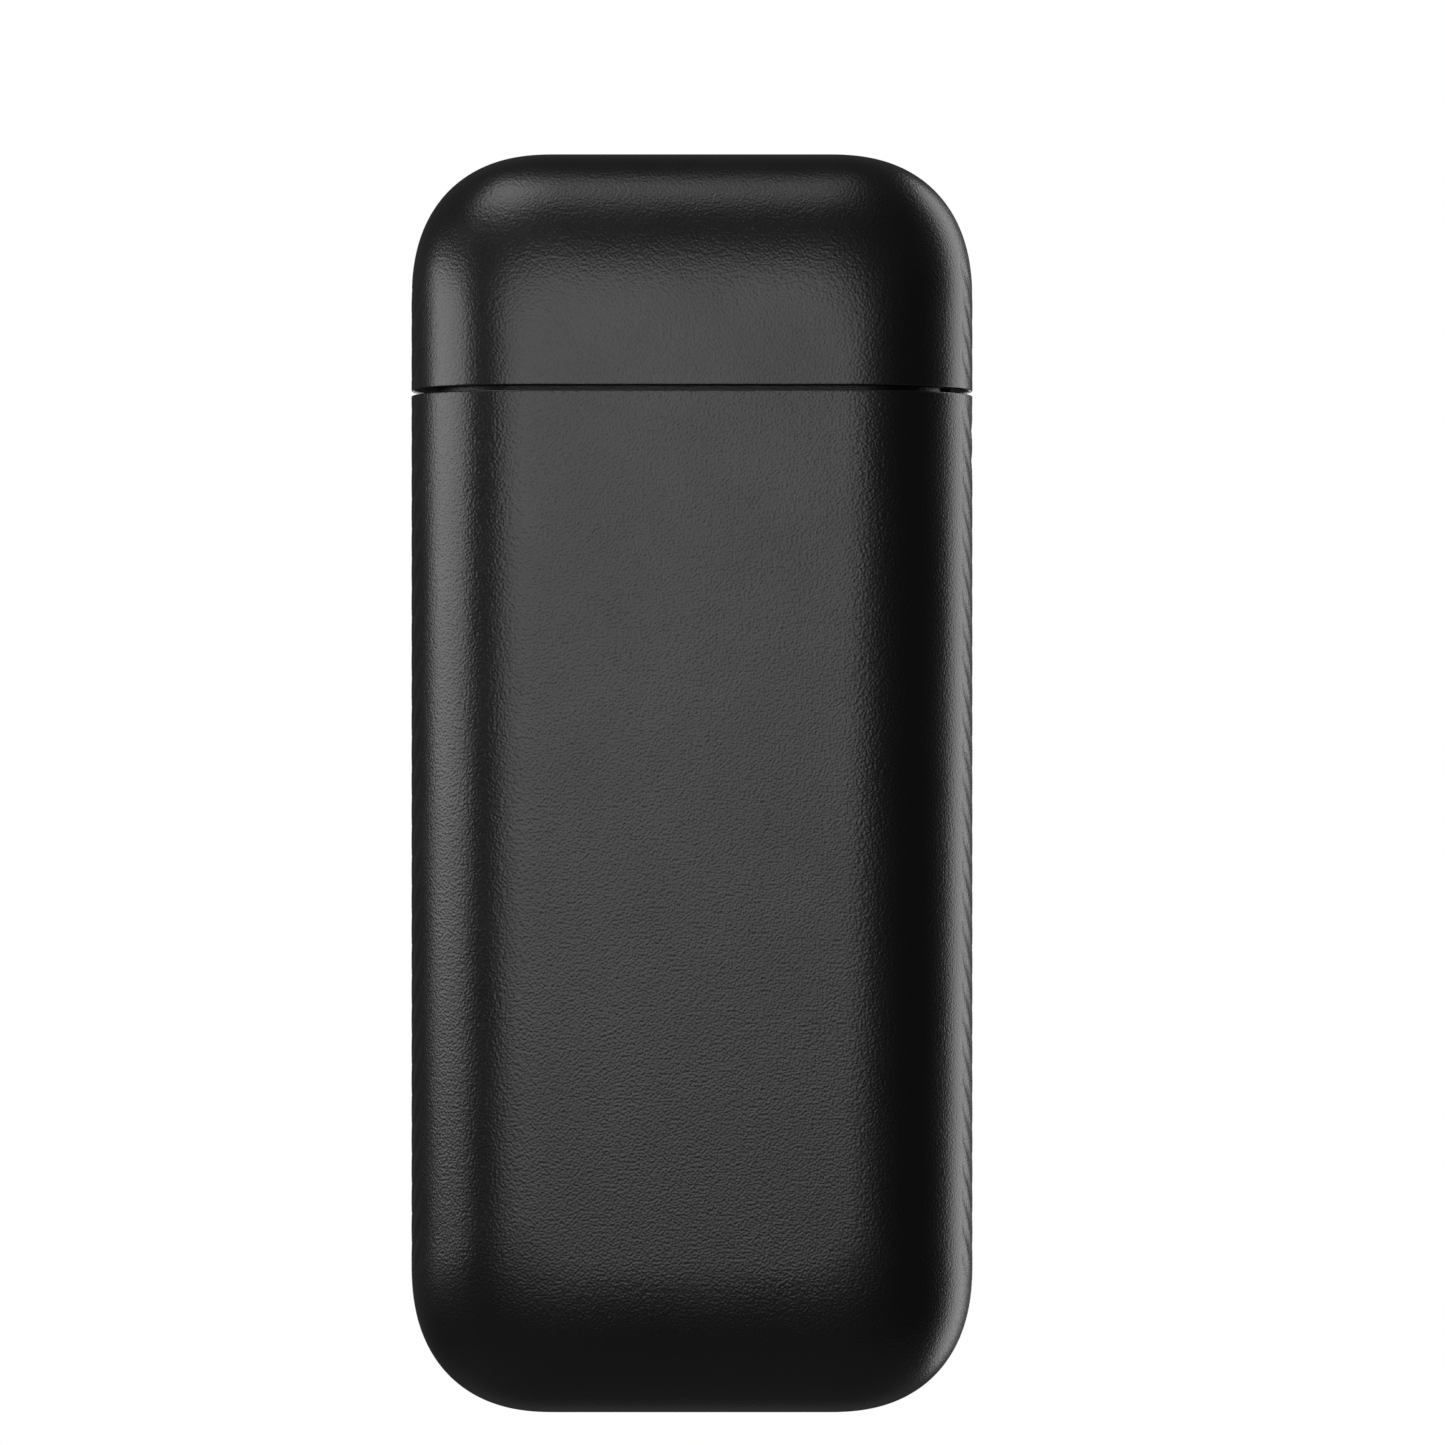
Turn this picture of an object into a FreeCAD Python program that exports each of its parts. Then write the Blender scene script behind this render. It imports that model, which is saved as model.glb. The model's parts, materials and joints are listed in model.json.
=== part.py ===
"""Flip-top electric-arc pocket lighter, as a parametric FreeCAD document.

Millimetres. +Z is up, +X points to the hinge side, -Y is the plain wide face and +Y the face with the
power button. The origin is the middle of the base. The lid swings about a pin that lies along Y.
"""
import FreeCAD, Part
import math
import os
import Sketcher
from FreeCAD import Placement, Rotation, Vector

doc = FreeCAD.newDocument("arc_lighter")
sheet = doc.addObject("Spreadsheet::Sheet", "dims")

DIMENSIONS = [
    # outer case
    ("case_width", 38.64), ("case_depth", 19), ("case_height", 86),
    ("corner_round", 8.7), ("side_round", 8), ("end_round", 6),
    ("rim_level", 69.59), ("seam_gap", 0.34),
    ("body_wall", 1.8), ("lid_wall", 1.5),
    # chassis and its collar, the neck
    ("neck_inset", 2), ("neck_wall", 1.3), ("neck_top", 72.2),
    ("floor_level", 64.5), ("floor_thick", 3), ("rail_inner", 15.2), ("window_low", 4), ("window_round", 4),
    ("frame_magnet_side", -15.1), ("frame_magnet_low", 66.8), ("frame_magnet_thick", 2.4),
    ("bumper_side", -12.5), ("bumper_long", 3), ("bumper_wide", 0.7), ("bumper_high", 0.4),
    ("bumper_half", 6.7),
    # hinge
    ("hinge_side", 17.7), ("hinge_level", 65.8), ("knuckle_radius", 1.25), ("pin_radius", 0.5),
    ("pin_clearance", 0.05), ("leaf_half", 1.2), ("leaf_plate_half", 2), ("leaf_plate_low", 73.2),
    ("ear_gap", 0.15), ("ear_thick", 0.9), ("ear_nose", 0.95), ("slot_half", 1.45), ("pocket_half", 2.5),
    ("bay_half", 3.5), ("slot_low", 63.8), ("spring_width", 2.2),
    ("bracket_side", 13.2), ("bracket_thick", 0.8), ("bracket_half", 4.9), ("bracket_top", 68.8),
    ("bracket_screw_half", 4), ("bracket_screw_level", 66.6),
    ("tiny_shank", 0.45), ("tiny_head", 0.65), ("tiny_head_height", 0.45), ("leaf_thick", 1),
    ("leaf_set_back", 1), ("leaf_screw_first", 74.1), ("leaf_screw_second", 76.6),
    # lid parts
    ("liner_gap", 0.05), ("liner_wall", 0.85), ("liner_low", 72.7), ("leaf_top", 78),
    ("lid_magnet_side", -16.6), ("lid_magnet_low", 73.2), ("lid_magnet_size", 3), ("lid_magnet_thick", 2),
    ("magnet_half", 2.5), ("magnet_seat_half", 2.9),
    # deck and arc head
    ("deck_level", 69), ("deck_thick", 1.2), ("deck_gap", 0.15), ("deck_screw_side", 10.5),
    ("post_radius", 1.8), ("screw_shank", 0.7), ("screw_head", 1.3), ("screw_head_height", 0.6),
    ("block_half_x", 7.2), ("block_half_y", 5.2), ("block_top", 71),
    ("boss_radius", 1.5), ("boss_top", 73.2), ("arc_half_x", 4.6), ("arc_half_y", 3.6),
    ("electrode_radius", 0.7), ("electrode_low", 62.5), ("electrode_top", 76.6),
    # power button, on the rear face
    ("button_level", 50), ("button_radius", 4.4), ("button_travel", 0.5), ("button_side_gap", 0.15),
    ("bezel_radius", 5.6), ("bezel_seat", 1.3), ("stem_radius", 1.5),
    ("flange_depth", 2), ("flange_thick", 0.6),
    ("membrane_depth", 3.6), ("membrane_thick", 0.4), ("membrane_radius", 6.4),
    ("switch_half", 2.25), ("switch_high", 1.8), ("plunger_low", 1.4), ("plunger_long", 1),
    # board, cell and coils
    ("board_front", 1.6), ("board_thick", 1), ("board_half", 15), ("board_low", 4.2), ("board_top", 59.5),
    ("board_screw_side", 14), ("board_screw_level", 22), ("board_screw_radius", 0.5),
    ("board_boss_half", 1.3), ("board_boss_deep", 3.2), ("board_boss_tall", 2),
    ("cell_half", 12.5), ("cell_front", -6.6), ("cell_thick", 6), ("cell_low", 10.5), ("cell_top", 41),
    ("coil_side", 7.3), ("coil_front", -5.5), ("coil_depth", 6), ("coil_half", 5.3),
    ("coil_low", 44.5), ("coil_top", 57), ("core_web", 1.8),
    ("lens_level", 41), ("lens_pitch", 2.6), ("lens_radius", 0.6), ("lens_start", 0.8),
    ("capacitor_radius", 2.4), ("capacitor_long", 7.2), ("capacitor_side", -12.8), ("capacitor_level", 7),
    ("bobbin_radius", 3.5), ("coil_radius", 2.9), ("bobbin_rim", 0.7), ("core_leg", 1.4),
    # charging socket, in the base
    ("socket_half_x", 4.47), ("socket_half_y", 1.6), ("socket_low", 0.35), ("socket_top", 7.8),
    ("socket_wall", 0.3), ("socket_round", 1.5), ("socket_back", 1.2), ("socket_play", 0.15),
    ("tongue_half_x", 3.35), ("tongue_half_y", 0.35), ("tongue_low", 1.15),
]
for row, (alias, value) in enumerate(DIMENSIONS, 1):
    sheet.set(f"A{row}", alias)
    sheet.set(f"B{row}", str(value))
    sheet.setAlias(f"B{row}", alias)
doc.recompute()

nodes = []

UP = Rotation()
TO_REAR = Rotation(Vector(1, 0, 0), -90)
TO_LEFT = Rotation(Vector(0, 1, 0), -90)
TO_RIGHT = Rotation(Vector(0, 1, 0), 90)


# ---- helpers ---------------------------------------------------------------------------------------

def expression(text):
    """Give every alias in a short formula its sheet's name."""
    words = str(text).replace("(", " ( ").replace(")", " ) ").split()
    aliases = {alias for alias, _ in DIMENSIONS}
    full = []
    for word in words:
        sign = "-" if word.startswith("-") and word[1:] in aliases else ""
        bare = word[len(sign):]
        full.append(sign + ("dims." + bare if bare in aliases else bare))
    return " ".join(full)


def number(text):
    return float(sheet.evalExpression(expression(text)))


def bind(thing, name, text):
    thing.setExpression(name, expression(text))


def place(thing, spot=("0", "0", "0"), turn=UP):
    thing.Placement = Placement(Vector(), turn)
    for axis, text in zip("xyz", spot):
        bind(thing, f"Placement.Base.{axis}", text)


def node(name, thing):
    """Register a finished piece; its label names its file."""
    thing.Label = name
    nodes.append(thing)
    return thing


def block(name, x, y, z):
    """Box between pairs of formulas."""
    box = doc.addObject("Part::Box", name)
    for size, axis, (low, high) in zip(("Length", "Width", "Height"), "xyz", (x, y, z)):
        bind(box, size, f"( {high} ) - ( {low} )")
        bind(box, f"Placement.Base.{axis}", low)
    return box


def rod(name, radius, length, spot, turn=UP):
    cylinder = doc.addObject("Part::Cylinder", name)
    bind(cylinder, "Radius", radius)
    bind(cylinder, "Height", length)
    place(cylinder, spot, turn)
    return cylinder


def union(name, parts):
    both = doc.addObject("Part::MultiFuse", name)
    both.Shapes = parts
    return both


def cut(name, base, tools):
    piece = doc.addObject("Part::Cut", name)
    piece.Base = base
    piece.Tool = tools[0] if len(tools) == 1 else union(name + "_tools", tools)
    return piece


def overlap(name, first, second):
    piece = doc.addObject("Part::Common", name)
    piece.Base = first
    piece.Tool = second
    return piece


def group(name, parts):
    """Several identical pieces that share one node."""
    many = doc.addObject("Part::Compound", name)
    many.Links = parts
    return many


def fillet(name, base, edges):
    """Round the edges given as (number, first radius, last radius)."""
    piece = doc.addObject("Part::Fillet", name)
    piece.Base = base
    piece.Edges = edges
    doc.recompute()
    return piece


def edges_along(shape, axis, radius):
    """The straight edges that run along one axis, as fillet entries."""
    found = []
    for index, edge in enumerate(shape.Edges, 1):
        tangent = edge.tangentAt(edge.FirstParameter)
        if abs(getattr(tangent, axis)) > 0.99 and edge.Curve.TypeId == "Part::GeomLine":
            found.append((index, radius, radius))
    return found


def bar(name, axis, radius, x, y, z):
    """Box whose edges along one axis are rounded."""
    box = block(name + "_box", x, y, z)
    doc.recompute()
    return fillet(name, box, edges_along(box.Shape, axis, number(radius)))


def round_loop(edges):
    """Put (number, edge) pairs in order round their loop, each with the parameters of its two ends."""
    number_of, edge = edges[0]
    waiting = edges[1:]
    ordered = [(number_of, edge, edge.FirstParameter, edge.LastParameter)]
    while waiting:
        _, edge, _, end = ordered[-1]
        here = edge.valueAt(end)
        for pair in waiting:
            number_of, edge = pair
            spans = [(edge.FirstParameter, edge.LastParameter), (edge.LastParameter, edge.FirstParameter)]
            span = [ends for ends in spans if edge.valueAt(ends[0]).distanceToPoint(here) < 1e-6]
            if span:
                ordered.append((number_of, edge, *span[0]))
                waiting.remove(pair)
                break
    return ordered


def case_form(name, inset, end_round=None):
    """The form of the whole case, drawn in by an inset; its top and base may be rounded less than its sides."""
    box = block(
        name + "_box",
        (f"{inset} - case_width / 2", f"case_width / 2 - {inset}"),
        (f"{inset} - case_depth / 2", f"case_depth / 2 - {inset}"),
        (inset, f"case_height - {inset}"),
    )
    doc.recompute()
    outline = fillet(name + "_outline", box, edges_along(box.Shape, "y", number(f"corner_round - {inset}")))
    side = number(f"side_round - {inset}")
    end = number(end_round) if end_round else side
    face_y = number(f"case_depth / 2 - {inset}")
    numbered = list(enumerate(outline.Shape.Edges, 1))
    rounds = []
    for level in (-face_y, face_y):
        loop = round_loop([pair for pair in numbered if abs(pair[1].CenterOfMass.y - level) < 1e-6])
        for index, edge, start, stop in loop:
            radii = [side if abs(edge.tangentAt(at).z) > 0.99 else end for at in (start, stop)]
            rounds.append((index, radii[0], radii[1]))
    return fillet(name, outline, sorted(rounds))


def plane_of(body, role):
    return [feature for feature in body.Origin.OriginFeatures if feature.Role == role][0]


def sketch_on(body, name, role, loops, circles=()):
    """Sketch of closed polygons and circles, every point and radius bound to the sheet."""
    sketch = body.newObject("Sketcher::SketchObject", name)
    sketch.AttachmentSupport = [(plane_of(body, role), "")]
    sketch.MapMode = "FlatFace"
    for points in loops:
        spots = [Vector(number(across), number(along), 0) for across, along in points]
        first = sketch.GeometryCount
        for step, spot in enumerate(spots):
            sketch.addGeometry(Part.LineSegment(spot, spots[(step + 1) % len(spots)]))
        for step, (point, spot) in enumerate(zip(points, spots)):
            line = first + step
            after = first + (step + 1) % len(spots)
            sketch.addConstraint(Sketcher.Constraint("Coincident", line, 2, after, 1))
            tie_point(sketch, line, 1, point, spot)
    for radius, point in circles:
        spot = Vector(number(point[0]), number(point[1]), 0)
        line = sketch.addGeometry(Part.Circle(spot, Vector(0, 0, 1), number(radius)))
        tie_point(sketch, line, 3, point, spot)
        size = sketch.addConstraint(Sketcher.Constraint("Radius", line, number(radius)))
        sketch.setExpression(f"Constraints[{size}]", expression(radius))
    return sketch


def tie_point(sketch, line, end, point, spot):
    """Hold one sketch point at its two formulas, or on an axis where the formula is zero."""
    for kind, axis, text, value in (("DistanceX", -2, point[0], spot.x), ("DistanceY", -1, point[1], spot.y)):
        if abs(value) < 1e-9:
            sketch.addConstraint(Sketcher.Constraint("PointOnObject", line, end, axis))
        else:
            size = sketch.addConstraint(Sketcher.Constraint(kind, -1, 1, line, end, value))
            sketch.setExpression(f"Constraints[{size}]", expression(text))


def pad(body, sketch, length):
    """Pad that reaches half its length to each side of the sketch."""
    feature = body.newObject("PartDesign::Pad", sketch.Name + "_pad")
    feature.Profile = sketch
    feature.SideType = "Symmetric"
    bind(feature, "Length", length)
    doc.recompute()
    return feature


def pocket(body, sketch, length):
    """Symmetric pocket; it has to take material away."""
    before = body.Shape.Volume
    feature = body.newObject("PartDesign::Pocket", sketch.Name + "_pocket")
    feature.Profile = sketch
    feature.SideType = "Symmetric"
    bind(feature, "Length", length)
    doc.recompute()
    if body.Shape.Volume >= before:
        raise RuntimeError(f"{feature.Name} cuts nothing")
    return feature


def profile(name, role, points, thick, spot=("0", "0", "0"), circles=()):
    """Body padded from one outline, centred on its sketch plane, with round holes through it."""
    body = doc.addObject("PartDesign::Body", name)
    pad(body, sketch_on(body, name + "_outline", role, [points]), thick)
    if circles:
        pocket(body, sketch_on(body, name + "_holes", role, [], circles), f"2 * ( {thick} )")
    place(body, spot)
    return body


def turned(name, points, spot, turn=UP):
    """Body turned about its own Z axis from (radius, height) points, then set in its place."""
    body = doc.addObject("PartDesign::Body", name)
    outline = sketch_on(body, name + "_outline", "XZ_Plane", [points])
    feature = body.newObject("PartDesign::Revolution", name + "_turned")
    feature.Profile = outline
    feature.ReferenceAxis = (outline, ["V_Axis"])
    feature.Angle = 360
    place(body, spot, turn)
    doc.recompute()
    return body


def screw(name, head, shank, head_height, length, spot, turn=UP):
    """Pan-head screw with a crossed recess; the spot is where the head sits."""
    body = turned(
        name,
        [("0", f"-{length}"), (shank, f"-{length}"), (shank, "0"), (head, "0"),
         (head, f"{head_height} * 0.55"), (f"{head} * 0.7", head_height), ("0", head_height)],
        spot, turn,
    )
    for role, arm in (("XZ_Plane", "across"), ("YZ_Plane", "along")):
        slot = sketch_on(body, f"{name}_{arm}", role, [[
            (f"-{head} * 0.5", f"{head_height} * 0.4"), (f"{head} * 0.5", f"{head_height} * 0.4"),
            (f"{head} * 0.5", f"{head_height} * 1.5"), (f"-{head} * 0.5", f"{head_height} * 1.5")]])
        pocket(body, slot, f"{head} * 0.22")
    return body


def bent_wire(points, radius):
    """Round wire along straight runs that tangent arcs join."""
    bend = 2.2 * radius
    edges = []
    start = points[0]
    for before, corner, after in zip(points, points[1:], points[2:]):
        inward = (before - corner).normalize()
        outward = (after - corner).normalize()
        half_turn = (math.pi - inward.getAngle(outward)) / 2
        reach = bend * math.tan(half_turn)
        middle = corner + (inward + outward).normalize() * bend * (1 / math.cos(half_turn) - 1)
        edges.append(Part.LineSegment(start, corner + inward * reach).toShape())
        edges.append(Part.Arc(corner + inward * reach, middle, corner + outward * reach).toShape())
        start = corner + outward * reach
    edges.append(Part.LineSegment(start, points[-1]).toShape())
    section = Part.Wire([Part.makeCircle(radius, points[0], (points[1] - points[0]).normalize())])
    return Part.Wire(edges).makePipeShell([section], True, True)


def plus_minus(text):
    """Pair of formulas the same way each side of a middle plane."""
    return f"-{text}", text


BELOW = "-5"
ABOVE = "case_height + 5"
WIDE = ("-case_width", "case_width")
DEEP = ("-case_depth", "case_depth")
LID_LOW = "rim_level + seam_gap"
REAR_FACE = "case_depth / 2"
BOARD_REAR = "( board_front + board_thick )"
SIDES = [("left", "-"), ("right", "")]
DEPTHS = [("front", "-"), ("rear", "")]
LEAF_SCREW_LEVELS = ("leaf_screw_first", "leaf_screw_second")


# ---- lid -------------------------------------------------------------------------------------------

def make_lid():
    """Cap, liner, magnet and hinge leaf: everything that swings."""
    cap = overlap("lid_cap", case_form("lid_form", "0", "end_round"),
                  block("lid_half", WIDE, DEEP, (LID_LOW, ABOVE)))
    node("lid_shell", cut("lid_shell", cap, [case_form("lid_hollow", "lid_wall")] + leaf_holes("lid")))

    liner_form = overlap("liner_cap", case_form("liner_form", "( lid_wall + liner_gap )"),
                         block("liner_half", WIDE, DEEP, ("liner_low", ABOVE)))
    liner_hollow = case_form("liner_hollow", "( lid_wall + liner_gap + liner_wall )")
    liner_tub = cut("liner_tub", liner_form, [liner_hollow])
    seat = block("magnet_seat", ("lid_magnet_side - 0.4", "lid_magnet_side"), plus_minus("magnet_seat_half"),
                 ("liner_low + 0.3", "lid_magnet_low + lid_magnet_size + 0.4"))
    node("lid_liner", cut("lid_liner", union("liner_with_seat", [liner_tub, seat]), leaf_holes("liner")))
    node("lid_magnet", block("lid_magnet", ("lid_magnet_side", "lid_magnet_side + lid_magnet_thick"),
                             plus_minus("magnet_half"), ("lid_magnet_low", "lid_magnet_low + lid_magnet_size")))

    node("hinge_leaf", make_leaf())
    screws = [screw(f"leaf_screw_{index}", "tiny_head", "tiny_shank", "tiny_head_height", "2.3",
                    ("hinge_side - leaf_set_back - leaf_thick", "0", level), TO_LEFT)
              for index, level in enumerate(LEAF_SCREW_LEVELS)]
    node("leaf_screws", group("leaf_screws", screws))


def leaf_holes(name):
    """Holes of the two screws that hold the hinge leaf."""
    return [rod(f"{name}_screw_hole_{index}", "tiny_shank", "4", ("hinge_side - 3.25", "0", level), TO_RIGHT)
            for index, level in enumerate(LEAF_SCREW_LEVELS)]


def make_leaf():
    """Hinge leaf: knuckle round the pin, cranked arm and the plate inside the lid."""
    inner = "-leaf_set_back - leaf_thick"
    arm = profile(
        "leaf_arm", "XZ_Plane",
        [("knuckle_radius", "0"), ("knuckle_radius", "1.9"), ("-leaf_set_back", "4.6"),
         ("-leaf_set_back", "leaf_top - hinge_level"), (inner, "leaf_top - hinge_level"), (inner, "4.2"),
         ("-knuckle_radius", "1.2"), ("-knuckle_radius", "0")],
        "2 * leaf_half", ("hinge_side", "0", "hinge_level"),
    )
    plate = block("leaf_plate", ("hinge_side - leaf_set_back - leaf_thick", "hinge_side - leaf_set_back"),
                  plus_minus("leaf_plate_half"), ("leaf_plate_low", "leaf_top"))
    knuckle = rod("leaf_knuckle", "knuckle_radius", "2 * leaf_half",
                  ("hinge_side", "-leaf_half", "hinge_level"), TO_REAR)
    bore = rod("leaf_bore", "pin_radius + pin_clearance", "4 * leaf_half",
               ("hinge_side", "-2 * leaf_half", "hinge_level"), TO_REAR)
    return cut("hinge_leaf", union("leaf_solid", [arm, plate, knuckle]), [bore] + leaf_holes("leaf"))


# ---- body shell and chassis ------------------------------------------------------------------------

def lens_across(index):
    """Place of one of the four charge lights along the row."""
    return f"( {index} - 1.5 ) * lens_pitch"


def make_body_shell():
    """Sleeve closed at the base, open for the hinge, the button, the charge lights and the socket."""
    lower = overlap("body_lower", case_form("body_form", "0", "end_round"),
                    block("body_half", WIDE, DEEP, (BELOW, "rim_level")))
    openings = [
        case_form("body_hollow", "body_wall"),
        block("hinge_slot", ("bracket_side", "case_width"), plus_minus("slot_half"), ("slot_low", ABOVE)),
        block("ear_pocket", ("bracket_side", "hinge_side + ear_nose"), plus_minus("pocket_half"),
              ("slot_low", ABOVE)),
        rod("button_hole", "button_radius + 2 * button_side_gap", "case_depth",
            ("0", "0", "button_level"), TO_REAR),
        rod("bezel_seat", "bezel_radius", "case_depth",
            ("0", f"{REAR_FACE} - bezel_seat", "button_level"), TO_REAR),
        bar("socket_mouth", "z", "socket_round",
            ("-socket_half_x - socket_play", "socket_half_x + socket_play"),
            ("-socket_half_y - socket_play", "socket_half_y + socket_play"), (BELOW, "socket_top")),
    ]
    for index in range(4):
        openings.append(rod(f"lens_hole_{index}", "lens_radius", "case_depth",
                            (lens_across(index), "0", "lens_level"), TO_REAR))
    node("body_shell", cut("body_shell", lower, openings))


def make_inner_frame():
    """Chassis: two rails, a foot, a floor under the arc head and the collar that is the neck."""
    solid = overlap("frame_solid", case_form("frame_form", "neck_inset"),
                    block("frame_half", WIDE, DEEP, (BELOW, "neck_top")))
    well = overlap("neck_well", case_form("neck_hollow", "( neck_inset + neck_wall )"),
                   block("neck_half", WIDE, DEEP, ("floor_level", ABOVE)))
    window = bar("frame_window", "y", "window_round", ("-rail_inner", "rail_inner"), DEEP,
                 ("window_low", "floor_level - floor_thick"))
    hinge_bay = block("hinge_bay", ("bracket_side", "case_width"), plus_minus("bay_half"),
                      ("floor_level", ABOVE))
    foot_slot = block("foot_slot", ("-socket_half_x - 0.25", "socket_half_x + 0.25"),
                      ("-socket_half_y - 0.2", "socket_half_y + 0.2"), (BELOW, "window_low + 1"))
    walls = cut("frame_walls", solid, [well, window, hinge_bay, foot_slot])

    floor_up = "deck_level - floor_level"
    solids = [walls]
    holes = []
    for side, sign in SIDES:
        across = f"{sign}deck_screw_side"
        solids.append(rod(f"deck_post_{side}", "post_radius", floor_up, (across, "0", "floor_level")))
        holes.append(rod(f"deck_post_hole_{side}", "screw_shank", floor_up, (across, "0", "floor_level + 0.8")))
        edge = f"{sign}board_screw_side"
        solids.append(block(f"board_boss_{side}", (f"{edge} - board_boss_half", f"{edge} + board_boss_half"),
                            ("board_front - board_boss_deep", "board_front"),
                            ("board_screw_level - board_boss_tall", "board_screw_level + board_boss_tall")))
        holes.append(rod(f"board_boss_hole_{side}", "board_screw_radius", "2.6",
                         (edge, "board_front - 2.6", "board_screw_level"), TO_REAR))
        for depth, front in DEPTHS:
            spot = (f"{sign}arc_half_x", f"{front}arc_half_y", "floor_level - 2 * floor_thick")
            holes.append(rod(f"lead_hole_{depth}_{side}", "electrode_radius", "3 * floor_thick", spot))
        holes.append(rod(f"bracket_post_hole_{side}", "tiny_shank", "4",
                         ("bracket_side - 1.4", f"{sign}bracket_screw_half", "bracket_screw_level"), TO_RIGHT))
    solids.append(block("bracket_post", ("bracket_side - 1.6", "bracket_side"),
                        plus_minus("bracket_half"), ("floor_level", "bracket_top")))
    magnet_far = "frame_magnet_side + frame_magnet_thick"
    solids.append(block("magnet_pedestal", ("frame_magnet_side - 0.4", f"{magnet_far} + 0.5"), ("-3", "3"),
                        ("floor_level", "frame_magnet_low")))
    node("inner_frame", cut("inner_frame", union("frame_with_posts", solids), holes))
    node("frame_magnet", block("frame_magnet", ("frame_magnet_side", magnet_far), plus_minus("magnet_half"),
                               ("frame_magnet_low", "deck_level - 0.1")))
    pads = [block(f"bumper_{index}", ("bumper_side", "bumper_side + bumper_long"),
                  (front, f"{front} + bumper_wide"), ("neck_top", "neck_top + bumper_high"))
            for index, front in enumerate(("-bumper_half - bumper_wide", "bumper_half"))]
    node("lid_bumpers", group("lid_bumpers", pads))


# ---- hinge parts on the body -----------------------------------------------------------------------

def make_hinge():
    """Bracket with two ears, its screws, the pin and the bent spring strip."""
    ear_outer = "leaf_half + ear_gap + ear_thick"
    plate = block("bracket_plate", ("bracket_side", "bracket_side + bracket_thick"),
                  plus_minus("bracket_half"), ("floor_level", "bracket_top"))
    ears = profile("bracket_ears", "XZ_Plane",
                   [("bracket_side - hinge_side + 0.4", "-1.3"), ("0", "-ear_nose"), ("0", "ear_nose"),
                    ("bracket_side - hinge_side + 0.4", "2.2")],
                   f"2 * ( {ear_outer} )", ("hinge_side", "0", "hinge_level"))
    noses = rod("bracket_noses", "ear_nose", f"2 * ( {ear_outer} )",
                ("hinge_side", f"-( {ear_outer} )", "hinge_level"), TO_REAR)
    between = block("between_ears", ("bracket_side + bracket_thick", "case_width"),
                    ("-leaf_half - ear_gap", "leaf_half + ear_gap"), ("slot_low", "neck_top"))
    bore = rod("ear_bore", "pin_radius", f"4 * ( {ear_outer} )",
               ("hinge_side", f"-2 * ( {ear_outer} )", "hinge_level"), TO_REAR)
    screw_holes = [rod(f"bracket_hole_{side}", "tiny_shank", "3",
                       ("bracket_side - 1", f"{sign}bracket_screw_half", "bracket_screw_level"), TO_RIGHT)
                   for side, sign in SIDES]
    node("hinge_bracket", cut("hinge_bracket", union("bracket_solid", [plate, ears, noses]),
                              [between, bore] + screw_holes))
    plate_face = "bracket_side + bracket_thick"
    screws = [screw(f"bracket_screw_{side}", "tiny_head", "tiny_shank", "tiny_head_height", "1.9",
                    (plate_face, f"{sign}bracket_screw_half", "bracket_screw_level"), TO_RIGHT)
              for side, sign in SIDES]
    node("bracket_screws", group("bracket_screws", screws))
    pin_end = f"( {ear_outer} )"
    node("hinge_pin", turned("hinge_pin",
                             [("0", f"-{pin_end}"), ("pin_radius - 0.15", f"-{pin_end}"),
                              ("pin_radius", f"0.15 - {pin_end}"), ("pin_radius", f"{pin_end} - 0.15"),
                              ("pin_radius - 0.15", pin_end), ("0", pin_end)],
                             ("hinge_side", "0", "hinge_level"), TO_REAR))
    node("hinge_spring", profile(
        "hinge_spring", "XZ_Plane",
        [("0", "0.3"), ("0.25", "0.3"), ("0.25", "0.6"), ("2.3", "1.4"), ("0.6", "3.3"), ("0.4", "3.15"),
         ("1.9", "1.4"), ("0", "0.75")],
        "spring_width", ("bracket_side + bracket_thick", "0", "floor_level")))


# ---- deck and arc head -----------------------------------------------------------------------------

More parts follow.
